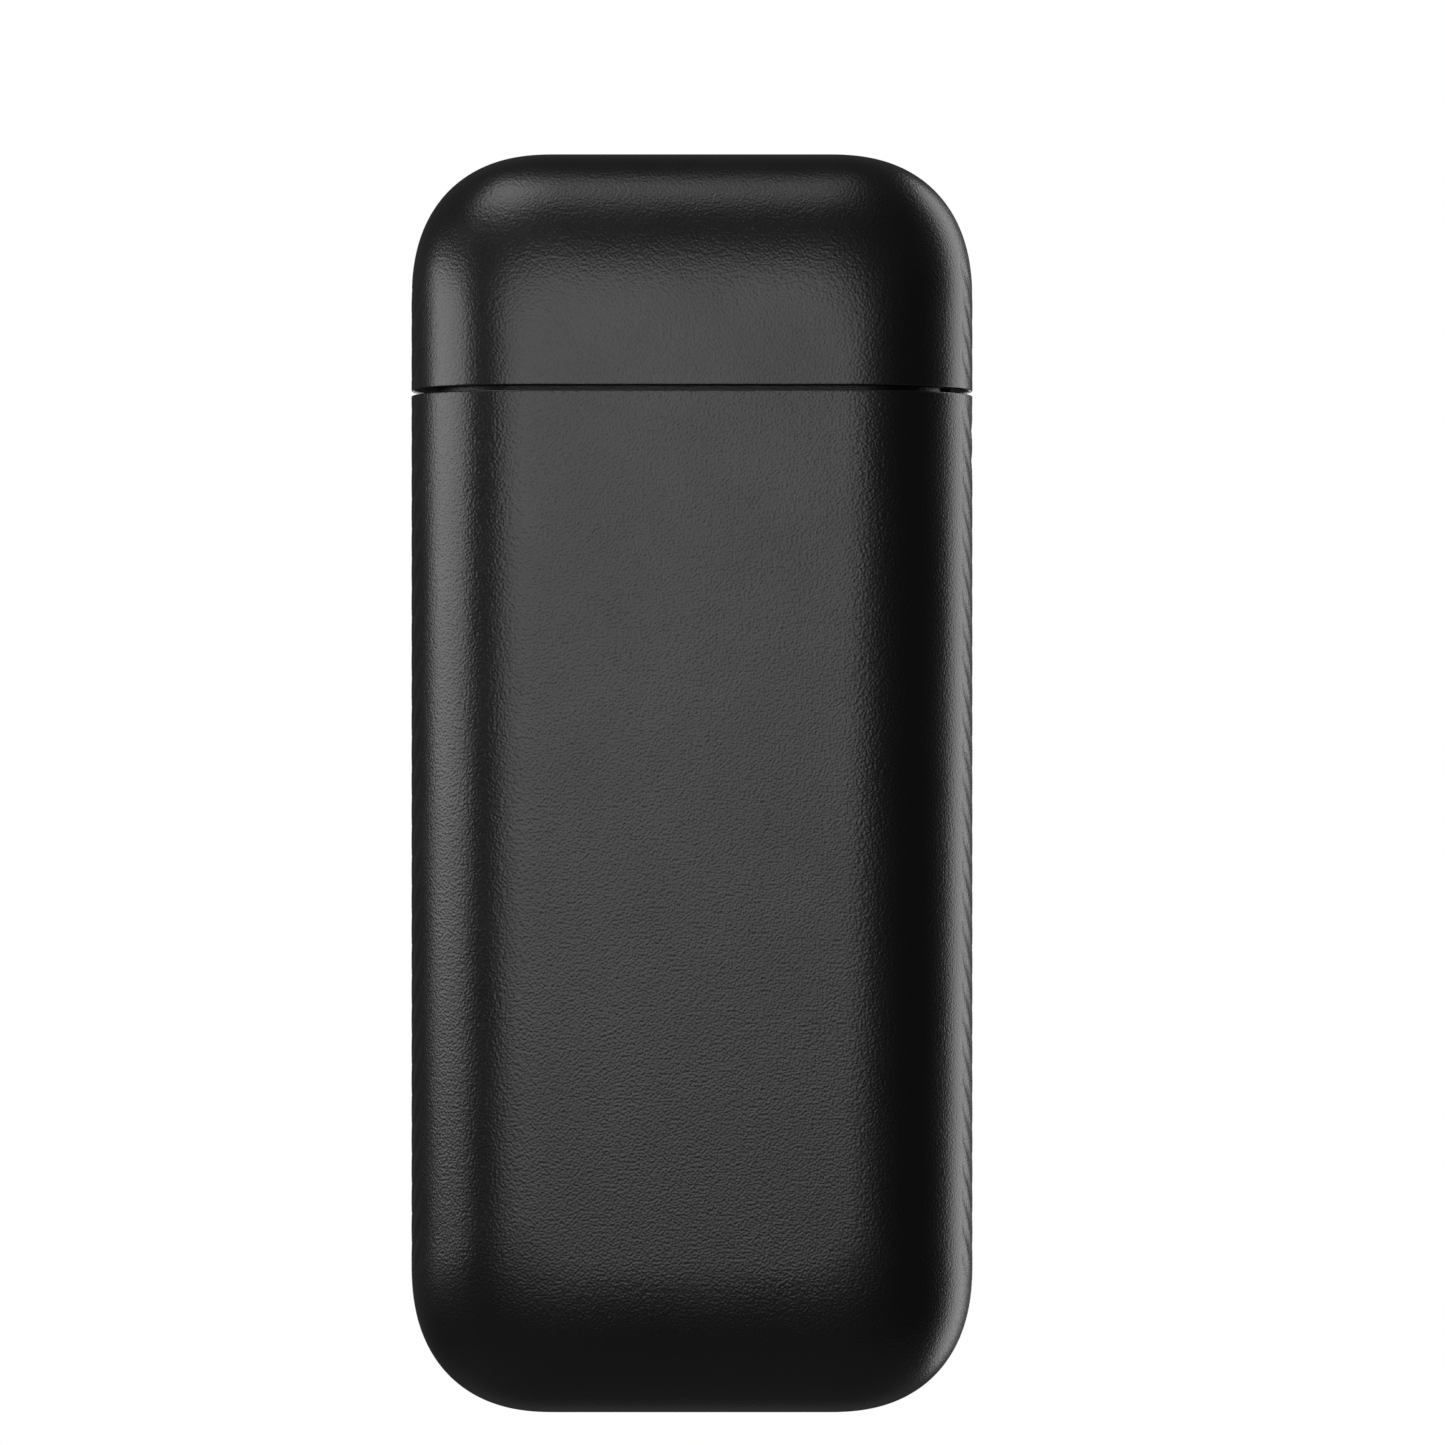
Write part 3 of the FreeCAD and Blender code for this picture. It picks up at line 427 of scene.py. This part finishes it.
def soft_light(name, azimuths, elevations, radiance):
    """Rectangular softbox that fills a span of directions, in degrees; azimuth 0 is the camera's side."""
    azimuth = math.radians(sum(azimuths) / 2)
    elevation = math.radians(sum(elevations) / 2)
    away = Vector((math.sin(azimuth) * math.cos(elevation), -math.cos(azimuth) * math.cos(elevation),
                   math.sin(elevation)))
    light = bpy.data.lights.new(name, "AREA")
    light.shape = "RECTANGLE"
    light.size = 2 * LAMP_DISTANCE * math.tan(math.radians(azimuths[1] - azimuths[0]) / 2)
    light.size_y = 2 * LAMP_DISTANCE * math.tan(math.radians(elevations[1] - elevations[0]) / 2)
    light.energy = radiance * math.pi * light.size * light.size_y
    lamp = bpy.data.objects.new(name, light)
    lamp.location = Vector((0.0, 0.0, TOP / 2)) + away * LAMP_DISTANCE
    lamp.rotation_euler = away.to_track_quat("Z", "Y").to_euler()
    scene.collection.objects.link(lamp)


def make_stage():
    """White floor that only the camera sees: it throws no light or shadow on the black case."""
    mesh = bpy.data.meshes.new("floor")
    corners = [(x * FLOOR_REACH, y * FLOOR_REACH, 0) for x, y in ((-1, -1), (1, -1), (1, 1), (-1, 1))]
    mesh.from_pydata(corners, [], [(0, 1, 2, 3)])
    floor = new_object("floor", mesh)
    white = bpy.data.materials.new("floor_white")
    white.use_nodes = True
    tree = white.node_tree
    tree.nodes.clear()
    glow = tree.nodes.new("ShaderNodeEmission")
    glow.inputs["Color"].default_value = (1.0, 1.0, 1.0, 1.0)
    out = tree.nodes.new("ShaderNodeOutputMaterial")
    tree.links.new(glow.outputs[0], out.inputs["Surface"])
    mesh.materials.append(white)
    floor.visible_diffuse = False
    floor.visible_glossy = False
    floor.visible_transmission = False
    floor.visible_shadow = False


def make_surround():
    """White surround for the camera; to every other ray it is nearly dark, so the lamps light the case."""
    world = bpy.data.worlds.new("surround")
    scene.world = world
    world.use_nodes = True
    tree = world.node_tree
    tree.nodes.clear()
    rays = tree.nodes.new("ShaderNodeLightPath")
    place = tree.nodes.new("ShaderNodeTexCoord")
    parts = tree.nodes.new("ShaderNodeSeparateXYZ")
    tree.links.new(place.outputs["Generated"], parts.inputs[0])

    def ramp(axis, start, end, low, high):
        node = tree.nodes.new("ShaderNodeMapRange")
        node.interpolation_type = "SMOOTHSTEP"
        for label, value in (("From Min", start), ("From Max", end), ("To Min", low), ("To Max", high)):
            node.inputs[label].default_value = value
        tree.links.new(parts.outputs[axis], node.inputs["Value"])
        return node.outputs["Result"]

    def combine(operation, first, second):
        node = tree.nodes.new("ShaderNodeMath")
        node.operation = operation
        tree.links.new(first, node.inputs[0])
        tree.links.new(second, node.inputs[1])
        return node.outputs[0]

    above = combine("MULTIPLY", ramp("Z", 0.2, 0.8, 0.0, GLOW_ABOVE), ramp("Y", -0.6, 0.4, 0.0, 1.0))
    ends = combine("ADD", ramp("Z", -0.8, -0.35, GLOW_BELOW, 0.0), above)
    surround_light = combine("ADD", ends, ramp("Y", 0.2, 1.0, GLOW_FRONT, GLOW_REAR))
    shade = tree.nodes.new("ShaderNodeMix")
    shade.data_type = "RGBA"
    tree.links.new(surround_light, shade.inputs[MIX_FIRST])
    shade.inputs[MIX_SECOND].default_value = (1.0, 1.0, 1.0, 1.0)
    back = tree.nodes.new("ShaderNodeBackground")
    out = tree.nodes.new("ShaderNodeOutputWorld")
    tree.links.new(rays.outputs["Is Camera Ray"], shade.inputs[0])
    tree.links.new(shade.outputs[MIX_RESULT], back.inputs["Color"])
    tree.links.new(back.outputs[0], out.inputs["Surface"])
    scene.view_settings.view_transform = "Standard"


# ---- materials -------------------------------------------------------------------------------------

def new_material(name, color, roughness, metallic=0.0):
    material = bpy.data.materials.new(name)
    material.use_nodes = True
    tree = material.node_tree
    shader = tree.nodes["Principled BSDF"]
    shader.inputs["Base Color"].default_value = (*color, 1.0)
    shader.inputs["Roughness"].default_value = roughness
    shader.inputs["Metallic"].default_value = metallic
    place = tree.nodes.new("ShaderNodeTexCoord")
    return material, tree, shader, place


def add_noise(tree, place, size, detail=4.0, stretch=None):
    """Noise whose features are about one size, in metres, in the object's own space."""
    vector = place.outputs["Object"]
    if stretch:
        mapping = tree.nodes.new("ShaderNodeMapping")
        mapping.inputs["Scale"].default_value = stretch
        tree.links.new(vector, mapping.inputs["Vector"])
        vector = mapping.outputs["Vector"]
    noise = tree.nodes.new("ShaderNodeTexNoise")
    noise.inputs["Scale"].default_value = 1.0 / size
    noise.inputs["Detail"].default_value = detail
    tree.links.new(vector, noise.inputs["Vector"])
    return noise.outputs["Fac"]


def spread(tree, value, low, high):
    """Map 0..1 noise to a range."""
    scale = tree.nodes.new("ShaderNodeMapRange")
    scale.inputs["From Min"].default_value = NOISE_LOW
    scale.inputs["From Max"].default_value = NOISE_HIGH
    scale.inputs["To Min"].default_value = low
    scale.inputs["To Max"].default_value = high
    tree.links.new(value, scale.inputs["Value"])
    return scale.outputs["Result"]


def bump(tree, shader, height, distance, edge=EDGE_GLINT):
    """Relief in the surface, and softened edges that catch the light where edge is more than nothing."""
    node = tree.nodes.new("ShaderNodeBump")
    node.inputs["Distance"].default_value = distance
    if edge:
        rounded_edge = tree.nodes.new("ShaderNodeBevel")
        rounded_edge.samples = EDGE_SAMPLES
        rounded_edge.inputs["Radius"].default_value = edge
        tree.links.new(rounded_edge.outputs["Normal"], node.inputs["Normal"])
    tree.links.new(height, node.inputs["Height"])
    tree.links.new(node.outputs["Normal"], shader.inputs["Normal"])


def tint(tree, shader, value, dark, light):
    """Base colour that wanders between two tones."""
    mix = tree.nodes.new("ShaderNodeMix")
    mix.data_type = "RGBA"
    mix.inputs[MIX_FIRST].default_value = (*dark, 1.0)
    mix.inputs[MIX_SECOND].default_value = (*light, 1.0)
    tree.links.new(value, mix.inputs[0])
    tree.links.new(mix.outputs[MIX_RESULT], shader.inputs["Base Color"])


def moulded_black(name, tone, roughness, grain, height, edge=EDGE_GLINT):
    """Soft-touch black plastic with a fine moulded grain."""
    material, tree, shader, place = new_material(name, (tone, tone, tone * COOL), roughness)
    shader.inputs["Specular IOR Level"].default_value = 0.5
    pebbles = add_noise(tree, place, grain, 0.0)
    patches = add_noise(tree, place, PATCH, 2.0)
    light = (tone * PATCH_LIGHT, tone * PATCH_LIGHT, tone * PATCH_BLUE)
    tint(tree, shader, patches, (tone * PATCH_DARK,) * 3, light)
    sheen = spread(tree, patches, roughness - PATCH_ROUGHNESS, roughness + PATCH_ROUGHNESS)
    tree.links.new(sheen, shader.inputs["Roughness"])
    bump(tree, shader, pebbles, height, edge)
    return material


def plain_metal(name, color, roughness, grain, stretch=None):
    """Metal with fine tool or tumbling marks."""
    material, tree, shader, place = new_material(name, color, roughness, 1.0)
    marks = add_noise(tree, place, grain, 3.0, stretch=stretch)
    tint(tree, shader, marks, tuple(c * METAL_DARK for c in color), color)
    sheen = spread(tree, marks, roughness - METAL_ROUGHNESS, roughness + METAL_ROUGHNESS)
    tree.links.new(sheen, shader.inputs["Roughness"])
    bump(tree, shader, marks, METAL_RELIEF)
    return material


def plain_solid(name, color, roughness, grain, height):
    """Material of the inner parts that are not metal: board, foam, ceramic and the like."""
    material, tree, shader, place = new_material(name, color, roughness)
    marks = add_noise(tree, place, grain, 4.0)
    tint(tree, shader, marks, tuple(c * SOLID_DARK for c in color), color)
    sheen = spread(tree, marks, roughness - SOLID_ROUGHNESS, roughness + SOLID_ROUGHNESS)
    tree.links.new(sheen, shader.inputs["Roughness"])
    bump(tree, shader, marks, height)
    return material


def make_materials():
    """One material for each slot of the record."""
    return {
        "case_black": moulded_black("case_black", 0.009, 0.31, 0.17 * MM, 0.021 * MM, 0.0),
        "lid_black": moulded_black("lid_black", 0.009, 0.31, 0.17 * MM, 0.018 * MM, 0.0),
        "neck_black": moulded_black("neck_black", 0.008, 0.42, 0.17 * MM, 0.018 * MM),
        "liner_black": moulded_black("liner_black", 0.012, 0.45, 0.35 * MM, 0.006 * MM),
        "deck_dark": plain_metal("deck_dark", (0.10, 0.10, 0.105), 0.42, 0.5 * MM, (0.08, 1.0, 1.0)),
        "ceramic_white": plain_solid("ceramic_white", (0.82, 0.80, 0.75), 0.62, 0.5 * MM, 0.01 * MM),
        "electrode_steel": plain_metal("electrode_steel", (0.52, 0.49, 0.45), 0.3, 0.3 * MM, (1.0, 1.0, 6.0)),
        "hinge_steel": plain_metal("hinge_steel", (0.56, 0.56, 0.57), 0.34, 0.4 * MM),
        "screw_steel": plain_metal("screw_steel", (0.16, 0.16, 0.165), 0.36, 0.3 * MM),
        "magnet_nickel": plain_metal("magnet_nickel", (0.66, 0.65, 0.62), 0.2, 0.6 * MM),
        "pad_rubber": plain_solid("pad_rubber", (0.035, 0.035, 0.035), 0.75, 0.2 * MM, 0.01 * MM),
        "membrane_rubber": plain_solid("membrane_rubber", (0.09, 0.09, 0.095), 0.7, 0.3 * MM, 0.008 * MM),
        "button_black": moulded_black("button_black", 0.012, 0.28, 0.14 * MM, 0.003 * MM),
        "bezel_metal": plain_metal("bezel_metal", (0.14, 0.14, 0.15), 0.26, 0.2 * MM),
        "lens_clear": plain_solid("lens_clear", (0.62, 0.66, 0.7), 0.22, 0.4 * MM, 0.002 * MM),
        "board_green": plain_solid("board_green", (0.02, 0.11, 0.055), 0.4, 0.8 * MM, 0.006 * MM),
        "chip_black": plain_solid("chip_black", (0.02, 0.02, 0.02), 0.5, 0.2 * MM, 0.004 * MM),
        "led_white": plain_solid("led_white", (0.75, 0.72, 0.5), 0.4, 0.3 * MM, 0.004 * MM),
        "can_metal": plain_metal("can_metal", (0.70, 0.70, 0.71), 0.28, 0.5 * MM),
        "socket_steel": plain_metal("socket_steel", (0.62, 0.62, 0.63), 0.27, 0.3 * MM),
        "tongue_black": plain_solid("tongue_black", (0.018, 0.018, 0.018), 0.45, 0.2 * MM, 0.003 * MM),
        "cell_foil": plain_metal("cell_foil", (0.60, 0.61, 0.63), 0.38, 1.2 * MM),
        "foam_grey": plain_solid("foam_grey", (0.12, 0.12, 0.13), 0.9, 0.35 * MM, 0.05 * MM),
        "wire_red": plain_solid("wire_red", (0.42, 0.03, 0.02), 0.45, 0.5 * MM, 0.004 * MM),
        "wire_white": plain_solid("wire_white", (0.7, 0.69, 0.65), 0.45, 0.5 * MM, 0.004 * MM),
        "ferrite_grey": plain_solid("ferrite_grey", (0.06, 0.06, 0.065), 0.55, 0.3 * MM, 0.01 * MM),
        "copper_enamel": plain_metal("copper_enamel", (0.50, 0.20, 0.08), 0.32, 0.12 * MM, (0.1, 0.1, 1.0)),
    }


def dress(materials):
    """Give every carried-over CAD node the material of its slot."""
    slots = {row["node"]: row["material_slot"] for row in frame["record"]["subparts"]}
    for name, node in nodes.items():
        node.data.materials.clear()
        node.data.materials.append(materials[slots[name]])


# ---- the two shells --------------------------------------------------------------------------------

def make_lid(materials):
    lid = shell("lid_cover", SEAM, True, LID_WALL, (SEAM + RIB_MARGIN, RIB_HIGH))
    lid.data.materials.append(materials["lid_black"])
    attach(lid, "lid")
    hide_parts("lid_shell")


def make_body(materials):
    body = shell("case_cover", RIM, False, BODY_WALL, (RIB_LOW, RIM - RIB_MARGIN))
    button_low, button_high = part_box("button_bezel")
    centre = ((button_low.x + button_high.x) / 2, (button_low.z + button_high.z) / 2)
    bezel_radius = (button_high.x - button_low.x) / 2
    beyond = HALF_Y + CUT_BEYOND
    seat = HALF_Y - BEZEL_SEAT
    inside = HALF_Y - CUT_DEPTH
    bezel_hole = bezel_radius + FIT_GAP
    cutters = [cutter_prism("bezel_cutter", [circle_loop(centre, bezel_hole, y) for y in (seat, beyond)]),
               cutter_prism("button_cutter", [circle_loop(centre, BUTTON_HOLE, y) for y in (inside, beyond)])]
    lens_low, lens_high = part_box("indicator_lenses")
    lens_radius = (lens_high.z - lens_low.z) / 2
    pitch = (lens_high.x - lens_low.x - 2 * lens_radius) / 3
    stations = ((FIT_GAP, inside), (FIT_GAP, HALF_Y - LENS_FLARE_DEPTH),
                (LENS_FLARE, HALF_Y + OVERSHOOT), (LENS_FLARE, beyond))
    for index in range(4):
        spot = (lens_low.x + lens_radius + index * pitch, (lens_low.z + lens_high.z) / 2)
        loops = [circle_loop(spot, lens_radius + wider, y, 24) for wider, y in stations]
        cutters.append(cutter_prism(f"lens_cutter_{index}", loops))
    socket_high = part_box("usb_socket")[1]
    half_x = socket_high.x + SOCKET_GAP
    half_y = socket_high.y + SOCKET_GAP
    cutters.append(cutter_prism("socket_cutter", [
        stadium_loop(half_x + wider * MM, half_y + wider * MM, radius * MM, z * MM)
        for wider, radius, z in SOCKET_MOUTH]))
    inner_side = HALF_X - SIDE_CUT_DEPTH
    ear_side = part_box("hinge_bracket")[1].x
    cutters += [block_cutter("hinge_cutter", (inner_side, HALF_X + MM), SLOT_HALF, (SLOT_LOW, RIM + MM)),
                block_cutter("pocket_cutter", (inner_side, ear_side), POCKET_HALF, (SLOT_LOW, RIM + MM))]
    carve(body, cutters)
    body.data.materials.clear()
    body.data.materials.append(materials["case_black"])
    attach(body, "root")
    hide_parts("body_shell")


make_camera()
make_stage()
make_surround()
for lamp in LAMPS:
    soft_light(*lamp)
materials = make_materials()
dress(materials)
make_lid(materials)
make_body(materials)
